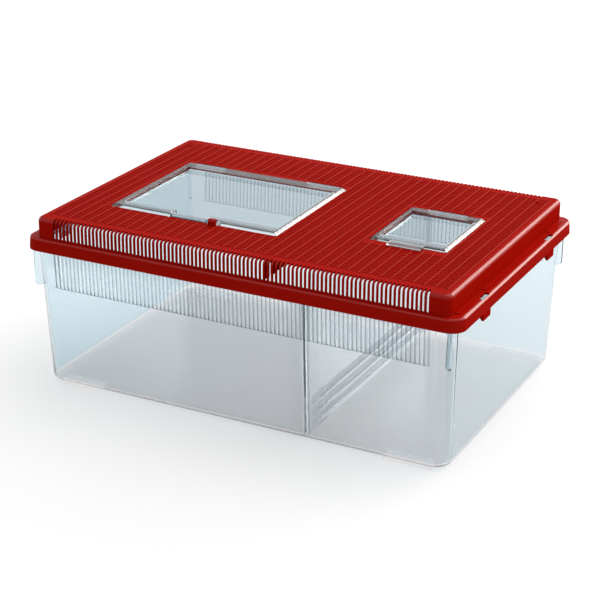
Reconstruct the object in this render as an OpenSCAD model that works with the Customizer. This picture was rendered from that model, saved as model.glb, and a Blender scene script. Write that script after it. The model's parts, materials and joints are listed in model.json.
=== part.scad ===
// Plastic pet keeper: a clear tub with a red ventilated lid, two clear hatches
// and a clear divider. Millimetres, +Z up. X runs along the keeper, Y across it.
// The origin is the middle of the ground rectangle that the four feet stand on.

/* [Overall] */
// Length over the lid skirt
keeper_l = 460; // [430:1:500]
// Width over the lid skirt
keeper_w = 306; // [286:1:330]
// Height of the tub from the ground to its rim
tub_h = 155.7; // [140:0.1:180]

/* [Tub] */
// Wall thickness of the tub
wall_t = 2.2; // [1.8:0.1:3]
// Thickness of the tub floor
floor_t = 2.2; // [1.8:0.1:4]
// Outside corner radius of the tub
tub_corner_r = 16; // [13:0.5:18]
// How far each end wall leans in from rim to floor
end_lean = 4.5; // [2:0.1:7]
// How far each long wall leans in from rim to floor
side_lean = 8; // [4:0.1:10]
// Radius of the edge under the tub floor
floor_edge_r = 3; // [1.5:0.1:4]
// Width of the rim flange beyond each end wall
rim_reach = 3.6; // [2.6:0.1:4.4]
// Thickness of the rim flange
rim_t = 2; // [1.6:0.1:3]
// Depth of the lip that hangs from the rim at each end
rim_lip_h = 12; // [8:0.5:13]
// Thickness of that lip
rim_lip_t = 1.6; // [1.2:0.1:2.2]

/* [Tub feet] */
// Height of the feet
foot_h = 4.3; // [3:0.1:6]
// Length of each foot
foot_l = 49; // [35:1:60]
// Width of each foot
foot_w = 14; // [9:0.5:20]
// Distance from the tub end to each foot
foot_inset = 14; // [9:0.5:24]

/* [Tub fluting] */
// Pitch of the flutes in the long walls
flute_pitch = 4.4; // [4:0.1:5.5]
// Width of each flute
flute_w = 2.5; // [2:0.1:3]
// Depth of each flute
flute_d = 0.8; // [0.5:0.1:1.1]
// Height of the fluted band below the rim
flute_band_h = 48; // [36:1:56]
// Plain length of the long walls at each end of the band
flute_margin = 24; // [21:1:34]

/* [Tub corner fins] */
// Reach of each fin from the rounded corner
fin_reach = 6; // [4:0.1:6.2]
// Thickness of each fin
fin_t = 1.8; // [1.4:0.1:2.4]
// Height of each fin below the rim
fin_h = 47; // [34:1:60]

/* [Lid shell] */
// Wall thickness of the lid
lid_t = 2; // [1.6:0.1:2.4]
// Height of the lid skirt
skirt_h = 13; // [11:0.5:14]
// Corner radius of the skirt
skirt_r = 15; // [13:0.5:17]
// Height of the raised middle above the ledge
crown_h = 20.4; // [17:0.2:24]
// Width of the ledge at each end
end_ledge = 12.5; // [12:0.1:14]
// Width of the ledge along each long side
side_ledge = 4.8; // [4:0.1:6]
// Lean of the crown walls from ledge to top
crown_lean = 4.6; // [3:0.1:6]
// Corner radius of the crown at the ledge
crown_r = 12; // [10:0.5:15]
// Radius of the crown's upper edge
crown_edge_r = 4; // [3:0.1:5]

/* [Lid slots] */
// Pitch of the air slots in the long crown walls
slot_pitch = 4.22; // [4:0.02:5.5]
// Width of each slot
slot_w = 2; // [1.6:0.1:2.3]
// Plain length of the crown wall at each end of the slots
slot_margin = 19.5; // [16:0.5:30]
// Height of the slots' lower ends above the ledge
slot_sill = 1.5; // [1:0.1:3]
// Distance of the slots' upper ends below the lid's top
slot_head = 1.2; // [1:0.1:3]

/* [Lid top] */
// Number of spaces between the top ridges
ridge_count = 39; // [30:1:45]
// Width of each ridge
ridge_w = 1.1; // [0.8:0.1:1.6]
// Height of each ridge
ridge_h = 0.6; // [0.4:0.1:0.9]
// Plain band round each hatch
ridge_clear = 1.6; // [1:0.1:4]
// Radius of the dimple near each back corner
dimple_r = 2.2; // [1.5:0.1:3]
// Distance of each dimple from the end of the top
dimple_inset = 9; // [7:0.5:12]
// Place of the cross rib under the lid
cross_rib_x = 34.5; // [28:0.5:44]
// Depth of the cross rib under the top plate
cross_rib_h = 16; // [10:0.5:18]

/* [Snap hooks] */
// Distance of each hook from the middle of the end
hook_y = 86; // [70:1:100]
// Width of each hook
hook_w = 17.5; // [12:0.5:24]
// Length of the hook below the skirt
hook_drop = 8; // [5:0.5:12]
// Thickness of the hook's blade
hook_t = 1.6; // [1.2:0.1:1.9]
// Reach of the hook's barb
barb_reach = 2.2; // [1.2:0.1:2.6]
// Height of the hook's barb
barb_h = 3; // [2:0.1:4]
// Width of the window above each hook
window_w = 4.6; // [3.6:0.1:5]

/* [Large hatch] */
// Length of the large hatch
large_l = 185.5; // [160:0.5:190]
// Depth of the large hatch from hinge edge to front
large_w = 154; // [130:0.5:160]
// Middle of the large hatch along X
large_x = -78.8; // [-84:0.1:-72]
// Middle of the large hatch along Y
large_y = -8.5; // [-14:0.1:-2]
// Width of its rim at the sides
large_side_rim = 7.6; // [6:0.1:10]
// Width of its rim at the hinge edge and the front
large_end_rim = 15; // [10:0.5:18]
// Width of each hinge knuckle
large_knuckle_w = 36; // [24:1:44]
// Distance of each knuckle from the middle of the hatch
large_knuckle_x = 66.4; // [50:0.1:70]
// Width of the finger scoop in the front rim
scoop_w = 38; // [26:1:48]
// Place of the scoop from the middle of the hatch
scoop_x = -6; // [-12:0.5:-2]
// Land left in front of the scoop
scoop_wall = 6; // [5:0.5:8]
// Place of the latch from the middle of the hatch
latch_x = 24; // [20:0.5:36]
// Width of the latch
latch_w = 8; // [6:0.5:12]
// Reach of the latch over the hatch's edge
latch_hook = 3; // [2:0.5:4]
// Height of the latch above the hatch rim
latch_rise = 3; // [2:0.5:4]

/* [Small hatch] */
// Length of the small hatch
small_l = 79; // [66:0.5:84]
// Depth of the small hatch from hinge edge to front
small_w = 99.5; // [84:0.5:106]
// Middle of the small hatch along X
small_x = 134; // [130:0.1:138]
// Middle of the small hatch along Y
small_y = -1.2; // [-6:0.1:4]
// Width of its rim at the sides
small_side_rim = 6.8; // [5:0.1:9]
// Width of its rim at the hinge edge and the front
small_end_rim = 11.6; // [8:0.1:15]
// Width of its hinge knuckle
small_knuckle_w = 40; // [26:1:50]
// Width of the finger lip
lip_w = 35; // [24:1:44]
// Reach of the finger lip beyond the front edge
lip_reach = 9.5; // [5:0.5:14]
// Thickness of the finger lip
lip_t = 1.3; // [1:0.1:1.8]

/* [Hatch make] */
// Thickness of the hatch panes
pane_t = 1.8; // [1.4:0.1:2.4]
// Height of the hatch rims above the lid top
rim_rise = 2.4; // [1.6:0.1:3.4]
// Wall of the hollow hatch rims
hatch_wall = 1.4; // [1:0.1:1.6]
// Lean of the walls that drop from the hatch rims to the pane
recess_lean = 1; // [0.5:0.1:2]
// Gap round each hatch in its opening
hatch_gap = 0.4; // [0.3:0.05:0.7]
// Gap behind each hatch, where its back edge swings down
swing_gap = 1; // [0.9:0.1:1.6]
// Width of the seat that carries each hatch
seat_w = 3; // [2:0.1:4]
// Thickness of the seat
seat_t = 1.6; // [1.2:0.1:2.4]

/* [Hinges] */
// Radius of the hinge pins
pin_r = 1.2; // [1:0.05:1.4]
// Running gap between each pin and its bore
pin_gap = 0.08; // [0.04:0.01:0.1]
// Length of each hinge pin
pin_l = 3; // [2:0.1:4]
// Radius of the hinge barrels
barrel_r = 2; // [1.9:0.05:2.3]
// Distance of the hinge axis behind the hatch
hinge_back = 3.2; // [2.8:0.1:4]
// Wall of the lug round each pin
lug_wall = 1.6; // [1.2:0.1:2]

/* [Divider] */
// Place of the divider along X
divider_x = 75; // [66:0.5:80]
// Thickness of the divider
divider_t = 2; // [1.6:0.1:3]
// Gap between the divider and the lid's underside
divider_top_gap = 3; // [1.5:0.5:14]
// Thickness of each guide rib
guide_t = 1.6; // [1.2:0.1:2.4]
// Reach of each guide rib from the wall
guide_reach = 3; // [2:0.1:5]
// Rows of air slots low in the divider
vent_rows = 3; // [1:1:4]
// Pitch of the rows
vent_row_pitch = 12; // [11:0.5:14]
// Height of each air slot
vent_h = 8.6; // [6:0.2:9.6]
// Pitch of the air slots along a row
vent_pitch = 4.3; // [4:0.1:6]
// Width of each air slot
vent_w = 2; // [1.5:0.1:2.6]

/* [Fits] */
// Clearance between separate pieces
fit = 0.3; // [0.2:0.05:0.5]
// Clearance between the tub wall and the skirt
skirt_gap = 0.8; // [0.5:0.1:1.2]

/* [Hidden] */
$fn = 32;
eps = 0.05;

// Tub
rim_w = keeper_w - 2 * lid_t - 2 * skirt_gap;
hook_out_x = keeper_l / 2 - 0.4 * lid_t;
hook_in_x = hook_out_x - hook_t;
barb_in_x = hook_in_x - barb_reach;
rim_l = 2 * (barb_in_x - fit);
tub_l = rim_l - 2 * rim_reach;
tub_floor_z = foot_h + floor_t;
lean_h = tub_h - foot_h;
// Lid heights
ledge_z = tub_h + fit + lid_t;
skirt_z = ledge_z - skirt_h;
crown_z = ledge_z + crown_h;
plate_z = crown_z - lid_t;
// Lid plan sizes
crown_l = keeper_l - 2 * end_ledge;
crown_w = keeper_w - 2 * side_ledge;
top_l = crown_l - 2 * crown_lean - 2 * crown_edge_r;
top_w = crown_w - 2 * crown_lean - 2 * crown_edge_r;
ridge_pitch = top_l / ridge_count;
// Hatches
pane_z = plate_z - 0.6;
hatch_base_z = pane_z - pane_t / 2;
rim_top_z = crown_z + rim_rise;
seat_top_z = hatch_base_z - fit;
axis_z = crown_z - barrel_r + 0.2;
bore_r = pin_r + pin_gap;
lug_r = bore_r + lug_wall;
// Snap hooks
hook_z = skirt_z - hook_drop;
window_x = keeper_l / 2 - lid_t - window_w / 2 - 0.2;

// Where a long wall's outer face stands at height z
function side_y(z) = rim_w / 2 - side_lean * (tub_h - z) / lean_h;
// Where an end wall's outer face stands at height z
function end_x(z) = tub_l / 2 - end_lean * (tub_h - z) / lean_h;
// How many copies of a pattern fit in a length
function copies(len, pitch) = floor(len / pitch) + 1;

// A rectangle with rounded corners
module rounded(l, w, r) {
    square([l - 2 * r, w], center = true);
    square([l, w - 2 * r], center = true);
    for (x = [-1, 1], y = [-1, 1])
        translate([x * (l / 2 - r), y * (w / 2 - r)]) circle(r);
}

// The same as a thin slab at height z
module slab(l, w, r, z, t = eps) {
    translate([0, 0, z]) linear_extrude(t) rounded(l, w, r);
}

// A patterned row of blocks along X, centred on x = mid
module row_x(n, pitch, mid = 0) {
    for (i = [0:n - 1])
        translate([mid + (i - (n - 1) / 2) * pitch, 0, 0]) children();
}

// The same feature on both long sides
module both_sides() {
    children();
    mirror([0, 1, 0]) children();
}

// The same feature at both ends
module both_ends() {
    children();
    mirror([1, 0, 0]) children();
}

// ---------------------------------------------------------------- tub

module tub_outside() {
    r = floor_edge_r;
    hull() {
        slab(2 * end_x(foot_h) - 2 * r, 2 * side_y(foot_h) - 2 * r, tub_corner_r - r, foot_h);
        slab(2 * end_x(foot_h) - r, 2 * side_y(foot_h) - r, tub_corner_r - r / 2,
            foot_h + r / 4);
        slab(2 * end_x(foot_h + r), 2 * side_y(foot_h + r), tub_corner_r, foot_h + r);
        slab(tub_l, rim_w, tub_corner_r, tub_h - eps);
    }
}

module tub_inside() {
    t = wall_t;
    r = floor_edge_r;
    z = tub_floor_z;
    hull() {
        slab(2 * (end_x(z) - t - r / 2), 2 * (side_y(z) - t - r / 2),
            tub_corner_r - t - r / 2, z);
        slab(2 * (end_x(z + r) - t), 2 * (side_y(z + r) - t), tub_corner_r - t, z + r);
        slab(tub_l - 2 * t, rim_w - 2 * t, tub_corner_r - t, tub_h, 1);
    }
}

// The flange at the rim, wider at the ends, with a lip that hangs from it
module tub_rim() {
    translate([0, 0, tub_h - rim_t])
        linear_extrude(rim_t)
            rounded(rim_l, rim_w, tub_corner_r);
    translate([0, 0, tub_h - rim_lip_h])
        linear_extrude(rim_lip_h)
            difference() {
                rounded(rim_l, rim_w, tub_corner_r);
                square([rim_l - 2 * rim_lip_t, rim_w + 2], center = true);
            }
}

// A diagonal fin under the rim at each corner, kept clear of the skirt's inside
module tub_fins() {
    cx = tub_l / 2 - tub_corner_r;
    cy = rim_w / 2 - tub_corner_r;
    reach = tub_corner_r + fin_reach;
    t = lid_t + fit;
    intersection() {
        slab(keeper_l - 2 * t, keeper_w - 2 * t, skirt_r - t, tub_h - fin_h - 1, fin_h + 1);
        both_ends() both_sides()
            translate([cx, cy, tub_h - rim_t / 2])
                rotate([0, 0, 45])
                    rotate([90, 0, 0])
                        translate([0, 0, -fin_t / 2])
                            linear_extrude(fin_t)
                                difference() {
                                    translate([0, -fin_h])
                                        square([reach, fin_h]);
                                    translate([reach, -fin_h])
                                        rotate(45)
                                            square([3, 3], center = true);
                                }
    }
}

// Four feet that follow the outline of the floor
module tub_feet() {
    x0 = end_x(foot_h) - foot_inset - foot_l;
    y0 = side_y(foot_h) - floor_edge_r - foot_w;
    linear_extrude(foot_h + floor_t / 2)
        intersection() {
            rounded(2 * (end_x(foot_h) - floor_edge_r), 2 * (side_y(foot_h) - floor_edge_r),
                tub_corner_r - floor_edge_r);
            both_ends() both_sides()
                translate([x0, y0]) square([foot_l, foot_w + 1]);
        }
}

// One round-bottomed flute, standing in the leaning wall
module flute() {
    lean = atan(side_lean / lean_h);
    r = flute_w / 2;
    translate([0, -rim_w / 2, tub_h])
        rotate([lean, 0, 0])
            rotate([90, 0, 0])
                translate([0, 0, -flute_d])
                    linear_extrude(flute_d + 1) {
                        translate([-r, r - flute_band_h])
                            square([flute_w, flute_band_h - r - rim_t]);
                        translate([0, r - flute_band_h]) circle(r, $fn = 16);
                    }
}

module tub_flutes() {
    band = tub_l - 2 * flute_margin;
    both_sides()
        row_x(copies(band, flute_pitch), flute_pitch) flute();
}

// Rib pairs that hold the divider's edges and lean with the walls
module divider_guides() {
    z0 = tub_floor_z - floor_t / 4;
    z1 = tub_h - 3 * rim_t;
    root = wall_t / 2;
    reach = wall_t + guide_reach;
    for (s = [-1, 1])
        translate([divider_x + s * (divider_t / 2 + fit + guide_t / 2) - guide_t / 2, 0, 0])
            both_sides()
                rotate([90, 0, 90])
                    linear_extrude(guide_t)
                        polygon([
                            [-side_y(z0) + root, z0], [-side_y(z0) + reach, z0],
                            [-side_y(z1) + reach, z1], [-side_y(z1) + root, z1]
                        ]);
}

module tub() {
    color([0.83, 0.89, 0.93, 0.5]) {
        difference() {
            union() {
                tub_outside();
                tub_rim();
                tub_fins();
                tub_feet();
            }
            tub_inside();
            tub_flutes();
        }
        divider_guides();
    }
}

// ------------------------------------------------------------ divider

// Half the divider's width at height z, clear of the leaning wall
function divider_y(z) = side_y(z) - wall_t - fit;

module divider_outline() {
    z0 = tub_floor_z + fit;
    z1 = tub_h - fit;
    z2 = plate_z - divider_top_gap;
    foot = floor_edge_r;
    head = top_w / 2 - lid_t - 2;
    polygon([
        [-divider_y(z0) + foot, z0], [divider_y(z0) - foot, z0],
        [divider_y(z0 + foot), z0 + foot], [divider_y(z1), z1],
        [head, z1], [head, z2], [-head, z2], [-head, z1],
        [-divider_y(z1), z1], [-divider_y(z0 + foot), z0 + foot]
    ]);
}

module divider() {
    row = 2 * (divider_y(tub_floor_z) - guide_reach - 8);
    n = copies(row, vent_pitch);
    z0 = tub_floor_z + fit + (vent_row_pitch - vent_h) + vent_h / 2;
    color([0.80, 0.86, 0.95, 0.5])
        translate([divider_x - divider_t / 2, 0, 0])
            rotate([90, 0, 90])
                linear_extrude(divider_t)
                    difference() {
                        divider_outline();
                        for (k = [0:vent_rows - 1])
                            translate([0, z0 + k * vent_row_pitch])
                                row_x(n, vent_pitch)
                                    square([vent_w, vent_h], center = true);
                    }
}

// ---------------------------------------------------------------- lid

// Solid skirt block with a soft upper edge
module skirt_block() {
    l = keeper_l;
    w = keeper_w;
    r = skirt_r;
    hull() {
        slab(l, w, r, skirt_z);
        slab(l - 1.2, w - 1.2, r, ledge_z - 2);
        slab(l - 2.2, w - 2.2, r - 0.3, ledge_z - 0.7);
        slab(l - 4.2, w - 4.2, r - 1, ledge_z - eps);
    }
}

// Solid crown block, shrunk by t for the hollow
module crown_block(t, z0, z1) {
    l = crown_l - 2 * t;
    w = crown_w - 2 * t;
    r = crown_r - t;
    e = crown_edge_r;
    // lean and edge insets, taken off both sides
    k = 2 * crown_lean;
    hull() {
        slab(l, w, r, z0);
        slab(l - k, w - k, r - 1, z1 - e);
        slab(l - k - 0.6 * e, w - k - 0.6 * e, r - 1.6, z1 - e * 0.46);
        slab(l - k - 1.2 * e, w - k - 1.2 * e, r - 2.4, z1 - e * 0.13);
        slab(l - k - 2 * e, w - k - 2 * e, r - 3.6, z1 - eps);
    }
}

// A hatch opening through the top plate, with room for its knuckles
module hatch_opening(l, w, x, y, knuckles, knuckle_w) {
    g = hatch_gap;
    translate([x, y, 0]) {
        translate([-l / 2 - g, -w / 2 - g, plate_z - 1])
            cube([l + 2 * g, w + g + swing_gap, lid_t + 4]);
        for (k = knuckles)
            translate([k - knuckle_w / 2 - g, w / 2, plate_z - 5])
                cube([knuckle_w + 2 * g, hinge_back + barrel_r + 3 * g, lid_t + 9]);
    }
}

// The seat under a hatch: a narrow frame that hangs from the top plate
module hatch_seat(l, w, x, y) {
    g = hatch_gap;
    out = [l + 2 * g + 2 * lid_t, w + 2 * g + 2 * lid_t];
    gap = [l + 2 * g, w + 2 * g];
    clear = [l - 2 * seat_w, w - 2 * seat_w];
    translate([x, y, 0]) {
        translate([0, 0, seat_top_z - seat_t])
            linear_extrude(plate_z - seat_top_z + seat_t + 0.5)
                difference() {
                    square(out, center = true);
                    square(gap, center = true);
                }
        translate([0, 0, seat_top_z - seat_t])
            linear_extrude(seat_t)
                difference() {
                    square(out, center = true);
                    square(clear, center = true);
                }
    }
}

// Bored lugs at both ends of a knuckle, merged into the top plate
module hinge_lugs(x, y, w, knuckles, knuckle_w) {
    g = hatch_gap;
    depth = pin_l + 2;
    ay = y + w / 2 + hinge_back;
    for (k = knuckles, s = [-1, 1])
        translate([x + k + s * (knuckle_w / 2 + g + depth / 2), ay, axis_z])
            rotate([0, 90, 0])
                cylinder(r = lug_r, h = depth, center = true);
}

module hinge_bores(x, y, w, knuckles, knuckle_w) {
    ay = y + w / 2 + hinge_back;
    for (k = knuckles, s = [-1, 1])
        translate([x + k + s * (knuckle_w / 2 + pin_l / 2), ay, axis_z])
            rotate([0, 90, 0])
                cylinder(r = bore_r, h = pin_l + 2 * fit + 1, center = true);
}

// The windowed snap hook that hangs inside each end of the skirt
module snap_hook() {
    barb_z = hook_z + 1;
    translate([0, -hook_w / 2, 0]) {
        translate([hook_in_x, 0, hook_z])
            cube([hook_t, hook_w, hook_drop + 4]);
        rotate([90, 0, 0])
            translate([0, 0, -hook_w])
                linear_extrude(hook_w)
                    polygon([
                        [hook_in_x + eps, barb_z - 1],
                        [hook_in_x - barb_reach, barb_z + barb_h * 0.6],
                        [hook_in_x - barb_reach, barb_z + barb_h],
                        [hook_in_x + eps, barb_z + barb_h]
                    ]);
    }
}

// Windows through the end ledges, above the hooks
module hook_windows() {
    both_ends()
        for (s = [-1, 1])
            translate([window_x, s * hook_y, ledge_z])
                cube([window_w, hook_w, 4 * lid_t], center = true);
}

// Raised pads on the end ledges between the windows
module ledge_pads() {
    inner = crown_l / 2 - 1;
    pad_w = window_x - window_w / 2 - inner - 0.6;
    gap = hook_y - hook_w / 2 - 4;
    far = keeper_w / 2 - crown_r - side_ledge - (hook_y + hook_w / 2 + 4);
    both_ends() {
        translate([inner, -gap, ledge_z - 0.5])
            cube([pad_w, 2 * gap, 1.3]);
        for (s = [-1, 1])
            translate([inner, s * (hook_y + hook_w / 2 + 4 + far / 2) - far / 2, ledge_z - 0.5])
                cube([pad_w, far, 1.3]);
    }
}

// Round-ended air slots through the crown's long walls, up to its rounded edge
module lid_slots() {
    n = copies(crown_l - 2 * slot_margin, slot_pitch);
    r = slot_w / 2;
    low = ledge_z + slot_sill + r;
    high = crown_z - slot_head - r;
    depth = (crown_w - top_w) / 2 + 1;
    both_sides()
        row_x(n, slot_pitch)
            translate([0, -crown_w / 2 - 1 + depth, 0])
                rotate([90, 0, 0])
                    linear_extrude(depth) {
                        translate([-r, low]) square([slot_w, high - low]);
                        translate([0, low]) circle(r, $fn = 12);
                        translate([0, high]) circle(r, $fn = 12);
                    }
}

// Long ridges on the top plate, stopped short of the hatches
module lid_ridges() {
    len = top_w - 4;
    n = ridge_count + 1;
    difference() {
        row_x(n, ridge_pitch - ridge_w / ridge_count)
            translate([-ridge_w / 2, -len / 2, crown_z - 0.4])
                cube([ridge_w, len, 0.4 + ridge_h]);
        ridge_gap(large_l, large_w, large_x, large_y);
        ridge_gap(small_l, small_w, small_x, small_y);
        lid_dimples();
    }
}

// The plain band round a hatch and its hinge
module ridge_gap(l, w, x, y) {
    c = ridge_clear;
    back = hinge_back + barrel_r + 2 * hatch_gap + c;
    translate([x - l / 2 - c, y - w / 2 - c, crown_z])
        cube([l + 2 * c, w + c + back, ridge_h + 1]);
}

// Small round dimples near the back corners of the top
module lid_dimples() {
    both_ends()
        translate([top_l / 2 - dimple_inset, top_w / 2 - 2 * dimple_inset, crown_z - 0.8])
            cylinder(r = dimple_r, h = 3);
}

// The latch tongue that stands at the large hatch's front edge
module latch() {
    y0 = large_y - large_w / 2 - hatch_gap;
    top = rim_top_z + latch_rise;
    translate([large_x + latch_x - latch_w / 2, 0, 0])
        rotate([90, 0, 90])
            linear_extrude(latch_w)
                polygon([
                    [y0 - 2.6, plate_z + 0.5], [y0 + 0.1, plate_z + 0.5],
                    [y0 + 0.1, top - 2.4], [y0 + latch_hook, top - 1.2],
                    [y0 + 0.5 * latch_hook, top], [y0 - 1.6, top], [y0 - 2.6, top - 1.4]
                ]);
}

// The catch that shows under the large hatch near its hinge
module seat_ear() {
    translate([large_x - large_l / 2 - hatch_gap - 0.5, large_y + large_w / 2 - 30,
            seat_top_z - seat_t])
        cube([seat_w + 5, 16, seat_t]);
}

// The rib across the underside that stiffens the lid between the hatches
module cross_rib() {
    w = top_w + 2 * crown_edge_r;
    translate([cross_rib_x - lid_t / 2, -w / 2, plate_z - cross_rib_h])
        cube([lid_t, w, cross_rib_h + 0.5]);
    both_sides()
        translate([cross_rib_x - lid_t / 2, -w / 2 - 1.4, ledge_z + 1.5])
            cube([lid_t, 16, plate_z - ledge_z - 1]);
}

module lid() {
    large_k = [-large_knuckle_x, large_knuckle_x];
    color([0.72, 0.08, 0.06])
        difference() {
            union() {
                difference() {
                    union() {
                        skirt_block();
                        crown_block(0, ledge_z - 1, crown_z);
                    }
                    slab(keeper_l - 2 * lid_t, keeper_w - 2 * lid_t, skirt_r - lid_t,
                        skirt_z - 1, skirt_h + 1 - lid_t);
                    crown_block(lid_t, ledge_z - lid_t - 1, plate_z);
                    lid_slots();
                    hook_windows();
                    lid_dimples();
                }
                ledge_pads();
                lid_ridges();
                cross_rib();
                both_ends()
                    for (s = [-1, 1])
                        translate([0, s * hook_y, 0]) snap_hook();
                hatch_seat(large_l, large_w, large_x, large_y);
                hatch_seat(small_l, small_w, small_x, small_y);
                seat_ear();
                latch();
                hinge_lugs(large_x, large_y, large_w, large_k, large_knuckle_w);
                hinge_lugs(small_x, small_y, small_w, [0], small_knuckle_w);
            }
            hatch_opening(large_l, large_w, large_x, large_y, large_k, large_knuckle_w);
            hatch_opening(small_l, small_w, small_x, small_y, [0], small_knuckle_w);
            hinge_bores(large_x, large_y, large_w, large_k, large_knuckle_w);
            hinge_bores(small_x, small_y, small_w, [0], small_knuckle_w);
        }
}

// ------------------------------------------------------------ hatches

// The tray's outer block, drawn in by t for the hollow under its rim
module tray_block(l, w, t) {
    bevel = (rim_top_z - hatch_base_z) / 2;
    k = 2 * (bevel + 0.4 * t);
    hull() {
        translate([0, 0, hatch_base_z - t])
            linear_extrude(bevel + 0.6 * t)
                square([l - 2 * t, w - 2 * t], center = true);
        translate([0, 0, rim_top_z - t - eps])
            linear_extrude(eps)
                square([l - k, w - k], center = true);
    }
}

// The sunk middle of the tray, let out by t for the wall round it
module tray_recess(l, w, side_rim, end_rim, t) {
    low = hatch_base_z + pane_t - 2 * t;
    sides = l - 2 * (side_rim - t);
    ends = w - 2 * (end_rim - t);
    hull() {
        translate([0, 0, low])
            linear_extrude(t + eps)
                square([sides, ends], center = true);
        translate([0, 0, rim_top_z])
            linear_extrude(eps)
                square([sides + 2 * recess_lean, ends + 2 * recess_lean], center = true);
    }
}

// A clear thin-walled tray: a sunk pane inside a raised, bevelled rim
module hatch_tray(l, w, side_rim, end_rim) {
    t = hatch_wall;
    difference() {
        tray_block(l, w, 0);
        tray_recess(l, w, side_rim, end_rim, 0);
        difference() {
            tray_block(l, w, t);
            tray_recess(l, w, side_rim, end_rim, t);
        }
    }
}

// Knuckles with a barrel and two short pins, one set per hinge zone
module hatch_knuckles(w, knuckles, knuckle_w) {
    ay = w / 2 + hinge_back;
    for (k = knuckles)
        translate([k, 0, 0]) {
            translate([0, ay, axis_z])
                rotate([0, 90, 0]) {
                    cylinder(r = barrel_r, h = knuckle_w, center = true);
                    cylinder(r = pin_r, h = knuckle_w + 2 * pin_l, center = true);
                }
            translate([-knuckle_w / 2, w / 2 - 1, axis_z - barrel_r * 0.5])
                cube([knuckle_w, hinge_back + 1, barrel_r * 1.3]);
        }
}

// The scoop that a finger finds in the large hatch's front rim
module finger_scoop(t) {
    depth = large_end_rim - scoop_wall;
    translate([scoop_x - scoop_w / 2 - t, -large_w / 2 + scoop_wall - t,
            hatch_base_z + pane_t - 2 * t])
        cube([scoop_w + 2 * t, depth + t, rim_top_z]);
}

// The notch that lets the latch past the large hatch's front rim
module latch_notch(t) {
    w = latch_w + 2 * fit + 2 * t;
    translate([latch_x - w / 2, -large_w / 2 - 1, hatch_base_z - 1])
        cube([w, 1 + latch_hook + 2 * hatch_gap + t, 12]);
}

module large_hatch() {
    t = hatch_wall;
    color([0.86, 0.92, 0.95, 0.5])
        translate([large_x, large_y, 0]) {
            difference() {
                tray_block(large_l, large_w, 0);
                tray_recess(large_l, large_w, large_side_rim, large_end_rim, 0);
                finger_scoop(0);
                latch_notch(0);
                difference() {
                    tray_block(large_l, large_w, t);
                    tray_recess(large_l, large_w, large_side_rim, large_end_rim, t);
                    finger_scoop(t);
                    latch_notch(t);
                }
            }
            hatch_knuckles(large_w, [-large_knuckle_x, large_knuckle_x], large_knuckle_w);
        }
}

module small_hatch() {
    color([0.86, 0.92, 0.95, 0.5])
        translate([small_x, small_y, 0]) {
            difference() {
                hatch_tray(small_l, small_w, small_side_rim, small_end_rim);
                for (s = [-1, 1])
                    translate([s * (small_l / 2 - 10.5) - 1.8, -small_w / 2 - 1, crown_z])
                        cube([3.6, 1.8, 10]);
            }
            translate([-lip_w / 2, -small_w / 2 - lip_reach, crown_z + ridge_h + fit])
                cube([lip_w, lip_reach + 3, lip_t]);
            hatch_knuckles(small_w, [0], small_knuckle_w);
        }
}

tub();
divider();
lid();
large_hatch();
small_hatch();
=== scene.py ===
"""Looks of the plastic pet keeper: a red lid with a grille over clear mouldings."""

import json
import math

import bmesh
import bpy
from mathutils import Matrix, Vector

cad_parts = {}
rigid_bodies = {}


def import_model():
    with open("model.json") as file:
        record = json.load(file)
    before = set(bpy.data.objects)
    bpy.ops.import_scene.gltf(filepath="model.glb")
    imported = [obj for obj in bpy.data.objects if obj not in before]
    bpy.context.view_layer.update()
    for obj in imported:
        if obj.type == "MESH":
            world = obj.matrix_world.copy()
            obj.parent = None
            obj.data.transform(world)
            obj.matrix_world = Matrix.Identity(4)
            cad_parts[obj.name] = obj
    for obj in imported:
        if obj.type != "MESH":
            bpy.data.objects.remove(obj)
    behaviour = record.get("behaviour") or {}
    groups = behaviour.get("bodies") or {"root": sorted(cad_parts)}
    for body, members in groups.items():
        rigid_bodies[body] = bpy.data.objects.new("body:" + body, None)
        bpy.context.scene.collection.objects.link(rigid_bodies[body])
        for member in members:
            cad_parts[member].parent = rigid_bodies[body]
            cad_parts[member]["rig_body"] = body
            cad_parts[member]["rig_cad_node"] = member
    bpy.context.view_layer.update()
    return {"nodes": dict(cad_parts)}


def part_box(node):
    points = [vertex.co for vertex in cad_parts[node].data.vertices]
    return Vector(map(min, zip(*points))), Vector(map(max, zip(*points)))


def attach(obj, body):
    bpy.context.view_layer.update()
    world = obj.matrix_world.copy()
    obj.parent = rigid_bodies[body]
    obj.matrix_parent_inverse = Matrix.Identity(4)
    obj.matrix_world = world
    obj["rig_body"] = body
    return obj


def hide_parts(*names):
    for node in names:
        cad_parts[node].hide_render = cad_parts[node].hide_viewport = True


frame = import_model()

MM = 0.001
FINE = 0.01 * MM  # a step just large enough to keep two faces apart

# The lid's driving sizes
KEEPER_L = 460.0 * MM
KEEPER_W = 306.0 * MM
LEDGE_Z = 158.0 * MM
CROWN_Z = 178.4 * MM
SKIRT_R = 15.0 * MM
LID_T = 2.0 * MM
RIDGE_GAPS = 39
RIDGE_PITCH = 10.685 * MM
RIDGE_W = 1.1 * MM
RIDGE_H = 0.6 * MM
SLOTS = 94
SLOT_PITCH = 4.22 * MM
CROSS_RIB_X = 34.5 * MM
PANE_Z = CROWN_Z - LID_T + 1.2 * MM

# The crown's and skirt's finished edges
CROWN_L = KEEPER_L - 24.2 * MM
CROWN_W = KEEPER_W - 9.6 * MM
CROWN_R = 8.0 * MM
CROWN_EDGE = 4.5 * MM
SKIRT_EDGE = 3.8 * MM
SLOT_W = 2.5 * MM
GRILLE_L = CROWN_L - 15.5 * MM
GRILLE_W = CROWN_W - 28.4 * MM
HOLE_GAP = 1.7 * MM
HOLE_PITCH = 4.25 * MM
HOLE_D = 1.45 * MM
HATCH_BAND = 3.2 * MM
SLOT_SILL_Z = LEDGE_Z + 0.7 * MM

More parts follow.
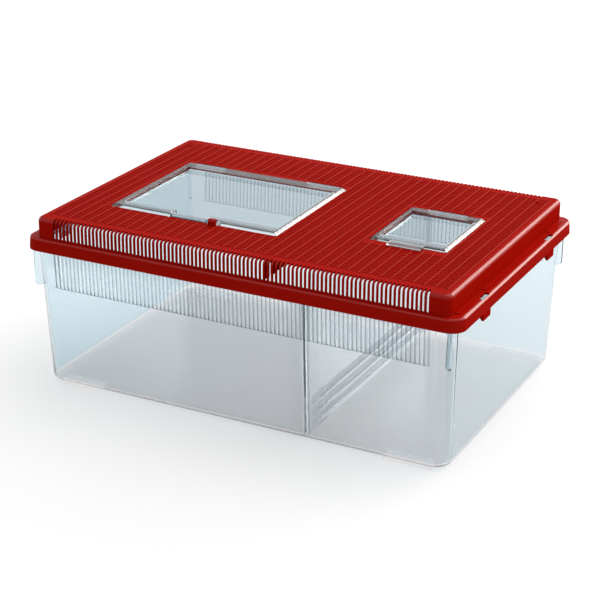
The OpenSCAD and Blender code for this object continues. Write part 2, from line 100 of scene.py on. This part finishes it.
# The tub's flutes, guides and floor
FLUTE_PITCH = 4.4 * MM
FLUTE_LINES = 91
FLUTE_BAND = 107.5 * MM, 155 * MM
FLUTE_FOOT = 107.1 * MM, 107.8 * MM
LONG_WALL_Y = 138 * MM
END_WALL_X = KEEPER_L / 2 - 16 * MM
GUIDES_X = 60 * MM, 90 * MM
GUIDE_FOOT_Z = 15 * MM
TUB_FLOOR_Z = 8 * MM
PLATE_EDGE_Y = 135 * MM

# Steps in each rounding, and the angle past which an edge stays sharp
CORNER_STEPS = 8
ROLL_STEPS = 5
SLOT_STEPS = 3
SHARP_ANGLE = 32.0

PLASTIC_IOR = 1.5
BLACK = (0, 0, 0, 1)
WHITE = (1, 1, 1, 1)


# ---------------------------------------------------------------- shader kit


class Wire:
    """A node's output that can be added, multiplied and compared."""

    def __init__(self, shader, socket):
        self.shader = shader
        self.socket = socket

    def _math(self, operation, a, b):
        settings = {"operation": operation}
        return self.shader.node("ShaderNodeMath", settings, {0: a, 1: b})

    def __add__(self, other):
        return self._math("ADD", self, other)

    def __radd__(self, other):
        return self._math("ADD", other, self)

    def __sub__(self, other):
        return self._math("SUBTRACT", self, other)

    def __rsub__(self, other):
        return self._math("SUBTRACT", other, self)

    def __mul__(self, other):
        return self._math("MULTIPLY", self, other)

    def __rmul__(self, other):
        return self._math("MULTIPLY", other, self)

    def most(self, other):
        """The larger of the two."""
        return self._math("MAXIMUM", self, other)

    def below(self, limit):
        """1 where the value is less than the limit, else 0."""
        return self._math("LESS_THAN", self, limit)

    def between(self, low, high):
        """1 from low up to high, else 0."""
        return self.below(high) * (1 - self.below(low))

    def beat(self, pitch):
        """A wave that runs from 0 up to 1 and back once in each pitch."""
        return self._math("PINGPONG", self * (2 / pitch), 1.0)

    def size(self):
        """The value without its sign."""
        return self._math("ABSOLUTE", self, 0.0)

    def other(self, name):
        """Another output of the node that this value comes from."""
        return Wire(self.shader, self.socket.node.outputs[name])


class Shader:
    """A material or world, and the one way its nodes are made."""

    def __init__(self, owner):
        self.owner = owner
        owner.use_nodes = True
        self.tree = owner.node_tree
        self.tree.nodes.clear()

    def node(self, kind, settings=None, values=None, output=0):
        """Makes a node: its settings first, then the values or links of its sockets."""
        made = self.tree.nodes.new(kind)
        for name, value in (settings or {}).items():
            if name == "stops":
                ramp = made.color_ramp
                for place, element in zip(value, ramp.elements):
                    element.position, element.color = place
            else:
                setattr(made, name, value)
        for name, value in (values or {}).items():
            if isinstance(value, Wire):
                self.tree.links.new(value.socket, made.inputs[name])
            else:
                made.inputs[name].default_value = value
        return Wire(self, made.outputs[output]) if made.outputs else None

    def blend(self, factor, a, b):
        """Colour a where factor is 0, and b where it is 1."""
        return self.node(
            "ShaderNodeMix", {"data_type": "RGBA"}, {0: factor, 6: a, 7: b}, output=2
        )

    def place(self):
        return self.node("ShaderNodeTexCoord", output="Object")

    def along(self, axis):
        """The place on the object along X, Y or Z, in metres."""
        return self.node("ShaderNodeSeparateXYZ", {}, {0: self.place()}, output=axis)

    def facing_up(self):
        """1 on level surfaces, 0 on upright walls."""
        facing = self.node("ShaderNodeNewGeometry", output="Normal")
        return self.node("ShaderNodeSeparateXYZ", {}, {0: facing}, output="Z")

    def noise(self, scale, detail=2.0, stretch=(1, 1, 1)):
        spread = {"Vector": self.place(), "Scale": stretch}
        at = self.node("ShaderNodeMapping", {}, spread)
        return self.node(
            "ShaderNodeTexNoise", {}, {"Vector": at, "Scale": scale, "Detail": detail}
        )

    def bump(self, height, distance, strength):
        values = {"Height": height, "Distance": distance, "Strength": strength}
        return self.node("ShaderNodeBump", {}, values)

    def seen(self):
        """1 for rays of the camera, of gloss and through clear plastic."""
        ray = self.node("ShaderNodeLightPath", output="Is Camera Ray")
        gloss, through = ray.other("Is Glossy Ray"), ray.other("Is Transmission Ray")
        return ray.most(gloss).most(through)

    def finish(self, surface, kind="ShaderNodeOutputMaterial"):
        self.node(kind, {}, {"Surface": surface})
        return self.owner


def new_shader(name):
    return Shader(bpy.data.materials.new(name))


# ---------------------------------------------------------------- finishes


def red_lid_plastic():
    """Opaque red, dull on its walls and polished on its rolled edges and ledge, with
    painted highlights dotted along the ridge tops.
    """
    s = new_shader("red_lid_plastic")
    flow = s.noise(14.0, 3.0)
    grain = s.noise(950.0, 2.0)
    # Rub marks that vary the roughness as wear, and also dot the painted ridge
    # highlights
    rubs_and_glints = s.noise(60.0, 5.0, stretch=(1, 7, 1))
    red = s.blend(flow, (0.36, 0.005, 0.0015, 1), (0.41, 0.007, 0.003, 1))
    height = s.along("Z")
    # Painted highlights: the ridge tops are lightened to pale orange in dots along Y
    ridge_top = height.between(CROWN_Z + 0.4 * MM, CROWN_Z + 0.8 * MM)
    painted_ridge_glints = ridge_top * (0.05 + 0.5 * rubs_and_glints * s.along("Y").beat(HOLE_PITCH))
    colour = s.blend(painted_ridge_glints, red, (0.70, 0.20, 0.13, 1))
    up = s.facing_up().most(0.0)
    ledge = height.below(LEDGE_Z + 3 * MM)
    level = up * up * (0.10 + 0.3 * ledge)
    surface = s.node(
        "ShaderNodeBsdfPrincipled",
        {},
        {
            "Base Color": colour,
            "Roughness": 0.3 + 0.12 * rubs_and_glints,
            "IOR": PLASTIC_IOR,
            "Specular IOR Level": 0.0,
            "Coat Weight": 5.5 * up * up * (1 - up) + level,
            "Coat Roughness": 0.2,
            "Coat IOR": PLASTIC_IOR,
            "Normal": s.bump(grain, 0.00006, 0.4),
        },
    )
    return s.finish(surface)


def clear_plastic(name, look, passing_light):
    """Clear polystyrene with a faint cast, slight haze and moulding waves.

    Light that falls through it to other surfaces is tinted by passing_light.
    """
    s = new_shader(name)
    tint, haze = look(s)
    waves = s.noise(16.0, 2.0)
    marks = s.noise(240.0, 3.0, stretch=(1, 1, 0.3))
    plastic = s.node(
        "ShaderNodeBsdfPrincipled",
        {},
        {
            "Base Color": tint,
            "Roughness": haze + 0.02 * marks,
            "IOR": PLASTIC_IOR,
            "Transmission Weight": 1.0,
            "Normal": s.bump(waves, 0.0001, 0.2),
        },
    )
    ray = s.node("ShaderNodeLightPath", output="Is Shadow Ray")
    lit_through = ray.most(ray.other("Is Diffuse Ray"))
    open_light = s.node("ShaderNodeBsdfTransparent", {}, {"Color": passing_light})
    mixed = {0: lit_through, 1: plastic, 2: open_light}
    return s.finish(s.node("ShaderNodeMixShader", {}, mixed))


def tub_look(s):
    """Bluish walls, deeper at the ends, with painted shade between the flutes and along
    their foot, and a hazy floor.
    """
    height = s.along("Z")
    cloud = s.noise(9.0)
    long_tint = s.blend(cloud, (0.79, 0.86, 0.89, 1), (0.815, 0.87, 0.90, 1))
    end_tint = s.blend(cloud, (0.68, 0.80, 0.85, 1), (0.71, 0.82, 0.865, 1))
    at_end = 1 - s.along("X").size().below(END_WALL_X)
    walls = s.blend(at_end, long_tint, end_tint)
    long_wall = 1 - s.along("Y").size().below(LONG_WALL_Y)
    reach = s.along("X").size().below(FLUTE_PITCH * FLUTE_LINES / 2)
    band = long_wall * reach * height.between(*FLUTE_BAND)
    line = (s.along("X") + FLUTE_PITCH / 4).beat(FLUTE_PITCH)
    foot = long_wall * reach * height.between(*FLUTE_FOOT)
    # Painted shade: the grooves between the flutes and the line at their foot are
    # darkened in the colour
    shaded = s.blend(foot.most(band * line * line), walls, (0.42, 0.49, 0.53, 1))
    floor = height.below(TUB_FLOOR_Z)
    guides = s.along("X").between(*GUIDES_X)
    low_guides = guides * height.below(GUIDE_FOOT_Z)
    haze = 0.22 * floor.most(low_guides).most(guides * long_wall)
    # Painted light: the floor's warm tint stands in for red light bounced down from the
    # lid
    return s.blend(floor, shaded, (1.0, 0.925, 0.91, 1)), haze


def plate_look(s):
    """Clear, and dulled along the edges that slide between the guides."""
    tint = s.blend(s.noise(9.0), (0.83, 0.86, 0.89, 1), (0.86, 0.885, 0.90, 1))
    return tint, 0.2 * (1 - s.along("Y").size().below(PLATE_EDGE_Y))


def hatch_look(s):
    """A bluish pane in a clearer rim."""
    pane = s.blend(s.noise(20.0), (0.59, 0.68, 0.725, 1), (0.62, 0.70, 0.74, 1))
    sunk = s.along("Z").below(PANE_Z)
    return s.blend(sunk, (0.86, 0.885, 0.905, 1), pane), 0.14 * (1 - sunk)


# ---------------------------------------------------------------- mesh helpers


def moulding(name, node, body, material):
    """A clean copy of a CAD node, smooth over its curves and sharp at its edges."""
    piece = frame["nodes"][node].copy()
    piece.data = piece.data.copy()
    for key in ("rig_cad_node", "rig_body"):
        if key in piece:
            del piece[key]
    piece.name = piece.data.name = name
    bpy.context.scene.collection.objects.link(piece)
    piece.parent = None
    bm = bmesh.new()
    bm.from_mesh(piece.data)
    bmesh.ops.remove_doubles(bm, verts=bm.verts, dist=2e-6)
    bmesh.ops.dissolve_degenerate(bm, edges=bm.edges, dist=1e-7)
    bm.to_mesh(piece.data)
    bm.free()
    crisp(piece)
    piece.data.materials.clear()
    piece.data.materials.append(material)
    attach(piece, body)
    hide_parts(node)
    return piece


def crisp(piece):
    """Shades a piece flat on its walls and smooth round its curves."""
    if "custom_normal" in piece.data.attributes:
        piece.data.attributes.remove(piece.data.attributes["custom_normal"])
    for polygon in piece.data.polygons:
        polygon.use_smooth = True
    piece.data.set_sharp_from_angle(angle=math.radians(SHARP_ANGLE))
    piece.modifiers.clear()
    flats = piece.modifiers.new("flat_walls", "WEIGHTED_NORMAL")
    flats.weight = 100
    flats.keep_sharp = True


# ---------------------------------------------------------------- lid


def block(bm, x0, x1, y0, y1, z0, z1):
    centre = Matrix.Translation(((x0 + x1) / 2, (y0 + y1) / 2, (z0 + z1) / 2))
    size = Matrix.Diagonal((x1 - x0, y1 - y0, z1 - z0, 1))
    bmesh.ops.create_cube(bm, size=1.0, matrix=centre @ size)


def round_edges(bm, edges, radius, segments):
    bmesh.ops.bevel(
        bm,
        geom=edges,
        offset=radius,
        segments=segments,
        profile=0.5,
        affect="EDGES",
        material=-1,
    )


def rounded_block(bm, length, width, z0, z1, corner, edge):
    """A block with rounded upright corners and a rolled upper edge."""
    block(bm, -length / 2, length / 2, -width / 2, width / 2, z0, z1)
    round_edges(bm, [e for e in bm.edges if rise(e) > 0], corner, CORNER_STEPS)
    rim = [e for e in bm.edges if min(v.co.z for v in e.verts) > z1 - FINE]
    round_edges(bm, rim, edge, ROLL_STEPS)


def rise(edge):
    """How much of an edge's length is upright, with slight slopes as none."""
    tall = abs(edge.verts[0].co.z - edge.verts[1].co.z)
    return tall if tall > FINE else 0.0


def solid(name, draw):
    """An object with the mesh that draw makes."""
    bm = bmesh.new()
    draw(bm)
    mesh = bpy.data.meshes.new(name)
    bm.to_mesh(mesh)
    bm.free()
    made = bpy.data.objects.new(name, mesh)
    bpy.context.scene.collection.objects.link(made)
    return made


def carve(piece, operation, draw):
    """Joins a piece with the solid that draw makes, or cuts the solid from it."""
    tool = solid("tool", draw)
    cut = piece.modifiers.new("cut", "BOOLEAN")
    cut.operation = operation
    cut.solver = "MANIFOLD"
    cut.object = tool
    bpy.context.view_layer.objects.active = piece
    bpy.ops.object.select_all(action="DESELECT")
    piece.select_set(True)
    bpy.ops.object.modifier_apply(modifier=cut.name)
    bpy.data.objects.remove(tool)


def combine(piece, operation, other):
    """Carves with an object's own mesh, and uses the object up."""
    carve(piece, operation, lambda bm: bm.from_mesh(other.data))
    bpy.data.objects.remove(other)


def ridge_places():
    """The ridges along X, with the two outer ones at the grille's ends."""
    places = [(k - RIDGE_GAPS / 2) * RIDGE_PITCH for k in range(RIDGE_GAPS + 1)]
    places[-1] = (GRILLE_L - RIDGE_W) / 2
    places[0] = -places[-1]
    return places


def hatch_zone(node, band):
    """The part of the lid's top that a hatch and its hinge take up."""
    lo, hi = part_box(node)
    return lo.x - band, hi.x + band, lo.y - band, hi.y + band


def grille_holes(bm):
    """The fine air holes between the ridges, cut short beside the hatches."""
    zones = [hatch_zone(node, HATCH_BAND) for node in ("large_hatch", "small_hatch")]
    ridges = ridge_places()
    rows = int(GRILLE_W / HOLE_PITCH)
    shortest = 2.0 * MM
    z0, z1 = CROWN_Z - 1.5 * LID_T, CROWN_Z + LID_T
    for left, right in zip(ridges, ridges[1:]):
        for row in range(rows):
            y = (row - (rows - 1) / 2) * HOLE_PITCH
            x0, x1 = left + HOLE_GAP / 2, right - HOLE_GAP / 2
            for zone in zones:
                if zone[2] < y < zone[3]:
                    if zone[0] < x1 <= zone[1]:
                        x1 = min(x1, zone[0])
                    if zone[0] <= x0 < zone[1]:
                        x0 = max(x0, zone[1])
            if x1 - x0 > shortest:
                block(bm, x0, x1, y - HOLE_D / 2, y + HOLE_D / 2, z0, z1)


def crown_walls():
    """The crown's upright walls with their rolled edge, round the plain border."""
    plate_x, plate_y = GRILLE_L / 2 - 5 * MM, GRILLE_W / 2 - 0.5 * MM
    top = CROWN_Z - FINE

    def hollow(bm):
        size = CROWN_L - 2 * LID_T, CROWN_W - 2 * LID_T
        z0, z1 = LEDGE_Z - 2 * LID_T, CROWN_Z - LID_T
        rounded_block(bm, *size, z0, z1, CROWN_R - LID_T, CROWN_EDGE - LID_T)

    def end_ridges(bm):
        y = GRILLE_W / 2
        z0, z1 = top - 0.5 * MM, CROWN_Z + RIDGE_H
        for x in (ridge_places()[0], ridge_places()[-1]):
            block(bm, x - RIDGE_W / 2, x + RIDGE_W / 2, -y, y, z0, z1)

    def rib_webs(bm):
        near, far = CROWN_W / 2 - 9 * MM, CROWN_W / 2 - 1.3 * MM
        x0, x1 = CROSS_RIB_X - LID_T / 2, CROSS_RIB_X + LID_T / 2
        z0, z1 = LEDGE_Z + 1.5 * MM, CROWN_Z - 1.5 * LID_T
        for side in (-1, 1):
            block(bm, x0, x1, *sorted((side * near, side * far)), z0, z1)

    def plate_field(bm):
        z0, z1 = LEDGE_Z - 3 * LID_T, CROWN_Z + LID_T
        block(bm, -plate_x, plate_x, -plate_y, plate_y, z0, z1)

    walls = solid(
        "crown_walls",
        lambda bm: rounded_block(
            bm, CROWN_L, CROWN_W, LEDGE_Z - LID_T / 2, top, CROWN_R, CROWN_EDGE
        ),
    )
    carve(walls, "DIFFERENCE", hollow)
    carve(walls, "DIFFERENCE", plate_field)
    carve(walls, "UNION", end_ridges)
    carve(walls, "UNION", rib_webs)
    return walls


def leaning_walls(bm):
    """What the upright walls take the place of, outside the grille's field."""
    x0, x1 = GRILLE_L / 2 - 4.5 * MM, CROWN_L / 2 - 0.9 * MM
    y0, y1 = GRILLE_W / 2, CROWN_W / 2 - 0.7 * MM
    z0, z1 = LEDGE_Z, CROWN_Z + 2 * LID_T
    for side in (-1, 1):
        block(bm, -x1, x1, *sorted((side * y0, side * y1)), z0, z1)
        block(bm, *sorted((side * x0, side * x1)), -y0 - FINE, y0 + FINE, z0, z1)


def skirt_trim():
    """What the skirt's rolled upper edge leaves off its square edge."""
    half_l, half_w = KEEPER_L / 2, KEEPER_W / 2
    past = 5 * MM

    def ring(bm):
        x, y = half_l + past, half_w + past
        block(bm, -x, x, -y, y, LEDGE_Z - 8 * MM, LEDGE_Z + 0.1 * MM)

    def rolled(bm):
        z0, z1 = LEDGE_Z - 10 * MM, LEDGE_Z - FINE
        rounded_block(bm, KEEPER_L, KEEPER_W, z0, z1, SKIRT_R, SKIRT_EDGE)

    def ledge(bm):
        x, y = half_l - SKIRT_EDGE, half_w - SKIRT_EDGE
        block(bm, -x, x, -y, y, LEDGE_Z - LID_T, LEDGE_Z + LID_T)

    trim = solid("skirt_trim", ring)
    carve(trim, "DIFFERENCE", rolled)
    carve(trim, "DIFFERENCE", ledge)
    return trim


def air_slots(bm):
    """Round-ended slots through the long walls, running over the rolled edge."""
    y0, y1 = CROWN_W / 2 - 6.6 * MM, CROWN_W / 2 + 1 * MM
    z1 = CROWN_Z + 1 * MM
    rounding = 0.49 * SLOT_W  # just under half, so that the two sides don't meet
    for side in (-1, 1):
        for k in range(SLOTS):
            x = (k - (SLOTS - 1) / 2) * SLOT_PITCH
            ys = sorted((side * y0, side * y1))
            block(bm, x - SLOT_W / 2, x + SLOT_W / 2, *ys, SLOT_SILL_Z, z1)
    heads = [e for e in bm.edges if rise(e) and abs(e.verts[0].co.y) < y0 + FINE]
    round_edges(bm, heads, rounding, SLOT_STEPS)
    sills = [
        e
        for e in bm.edges
        if max(v.co.z for v in e.verts) < SLOT_SILL_Z + FINE
        and abs(e.verts[0].co.x - e.verts[1].co.x) < FINE
        and e.calc_length() > 3 * MM
    ]
    round_edges(bm, sills, rounding, SLOT_STEPS)


def finish_lid(lid):
    """Gives the lid its upright walls, rolled edges, air slots and fine grille."""
    lid.modifiers.clear()
    carve(lid, "DIFFERENCE", leaning_walls)
    combine(lid, "DIFFERENCE", skirt_trim())
    combine(lid, "UNION", crown_walls())
    carve(lid, "DIFFERENCE", air_slots)
    carve(lid, "DIFFERENCE", grille_holes)
    crisp(lid)


# ---------------------------------------------------------------- pieces

RED = red_lid_plastic()
CLEAR_TUB = clear_plastic("clear_tub_plastic", tub_look, (0.82, 0.88, 0.91, 1))
CLEAR_PLATE = clear_plastic(
    "clear_divider_plastic", plate_look, (0.845, 0.87, 0.895, 1)
)
CLEAR_HATCH = clear_plastic("clear_hatch_plastic", hatch_look, (0.62, 0.70, 0.74, 1))

lid = moulding("lid_moulding", "lid", "lid", RED)
finish_lid(lid)
moulding("tub_moulding", "tub", "tub", CLEAR_TUB)
moulding("divider_plate", "divider", "divider", CLEAR_PLATE)
moulding("large_hatch_tray", "large_hatch", "large_hatch", CLEAR_HATCH)
moulding("small_hatch_tray", "small_hatch", "small_hatch", CLEAR_HATCH)


# ---------------------------------------------------------------- stage


def pale_floor():
    """White to the eye, with the keeper's soft shadow kept on it."""
    s = new_shader("pale_floor")
    surface = s.node(
        "ShaderNodeBsdfPrincipled",
        {},
        {
            "Base Color": (0.56, 0.56, 0.56, 1),
            "Roughness": 1.0,
            "Specular IOR Level": 0.0,
            "Emission Color": s.blend(s.seen(), BLACK, WHITE),
            "Emission Strength": 0.5,
        },
    )
    return s.finish(surface)


def white_world(ambient):
    """White round the horizon, grey overhead, and even light for matt surfaces."""
    world = bpy.data.worlds.new("white_world")
    bpy.context.scene.world = world
    s = Shader(world)
    way = s.node("ShaderNodeTexCoord", output="Generated")
    height = s.node("ShaderNodeSeparateXYZ", {}, {0: way}, output="Z")
    backdrop = s.node(
        "ShaderNodeValToRGB",
        {"stops": ((0.10, WHITE), (0.40, (0.50, 0.51, 0.52, 1)))},
        {0: height},
    )
    light = s.node("ShaderNodeBackground", {}, {"Color": WHITE, "Strength": ambient})
    white = s.node("ShaderNodeBackground", {}, {"Color": backdrop, "Strength": 1.0})
    surface = s.node("ShaderNodeMixShader", {}, {0: s.seen(), 1: light, 2: white})
    s.finish(surface, "ShaderNodeOutputWorld")


def aim(holder, way):
    """Puts a lamp in the scene, with its light coming from the given way."""
    bpy.context.scene.collection.objects.link(holder)
    holder.rotation_euler = Vector(way).to_track_quat("Z", "Y").to_euler()


def wide_lamp(name, way, strength, spread):
    """Even light from far off, as from a large soft box."""
    lamp = bpy.data.lights.new(name, "SUN")
    lamp.energy = strength
    lamp.angle = math.radians(spread)
    aim(bpy.data.objects.new(name, lamp), way)


def soft_lamp(name, place, target, size, power, colour):
    """A soft box at a place, turned to its target."""
    lamp = bpy.data.lights.new(name, "AREA")
    lamp.color = colour
    lamp.shape = "RECTANGLE"
    lamp.size, lamp.size_y = size
    lamp.energy = power
    holder = bpy.data.objects.new(name, lamp)
    holder.location = place
    aim(holder, Vector(place) - Vector(target))


CAMERA_PLACE = (0.723616, -1.438116, 0.742033)
CAMERA_ANGLES = (26.820, 22.379, 0.428)  # azimuth, elevation and roll, in degrees
FOCAL_PX, FRAME_PX, SENSOR_MM = 1719.564, 600.0, 36.0


def set_camera():
    """The camera stands front right, above the keeper."""
    azimuth, elevation, roll = (math.radians(a) for a in CAMERA_ANGLES)
    forward = Vector(
        (
            -math.sin(azimuth) * math.cos(elevation),
            math.cos(azimuth) * math.cos(elevation),
            -math.sin(elevation),
        )
    )
    right = forward.cross(Vector((0, 0, 1))).normalized()
    up = right.cross(forward)
    turned_right = math.cos(roll) * right + math.sin(roll) * up
    turned_up = -math.sin(roll) * right + math.cos(roll) * up
    data = bpy.data.cameras.new("camera")
    data.sensor_width = SENSOR_MM
    data.lens = FOCAL_PX * SENSOR_MM / FRAME_PX
    data.clip_start, data.clip_end = 0.05, 50.0
    camera = bpy.data.objects.new("camera", data)
    bpy.context.scene.collection.objects.link(camera)
    turn = Matrix((turned_right, turned_up, -forward)).transposed().to_4x4()
    camera.matrix_world = Matrix.Translation(CAMERA_PLACE) @ turn
    bpy.context.scene.camera = camera


bpy.ops.mesh.primitive_plane_add(size=12.0, location=(0, 0, 0))
floor = bpy.context.object
floor.name = "floor"
floor.data.materials.append(pale_floor())

white_world(ambient=0.55)
wide_lamp("key_lamp", way=(0.35, 0.45, 0.82), strength=1.45, spread=70.0)
soft_lamp(
    "back_lamp",
    place=(0.75, 1.55, 0.85),
    target=(0.0, 0.0, 0.10),
    size=(1.1, 0.9),
    power=15.0,
    colour=(1.0, 0.90, 0.82),
)
set_camera()
bpy.context.scene.view_settings.view_transform = "Standard"
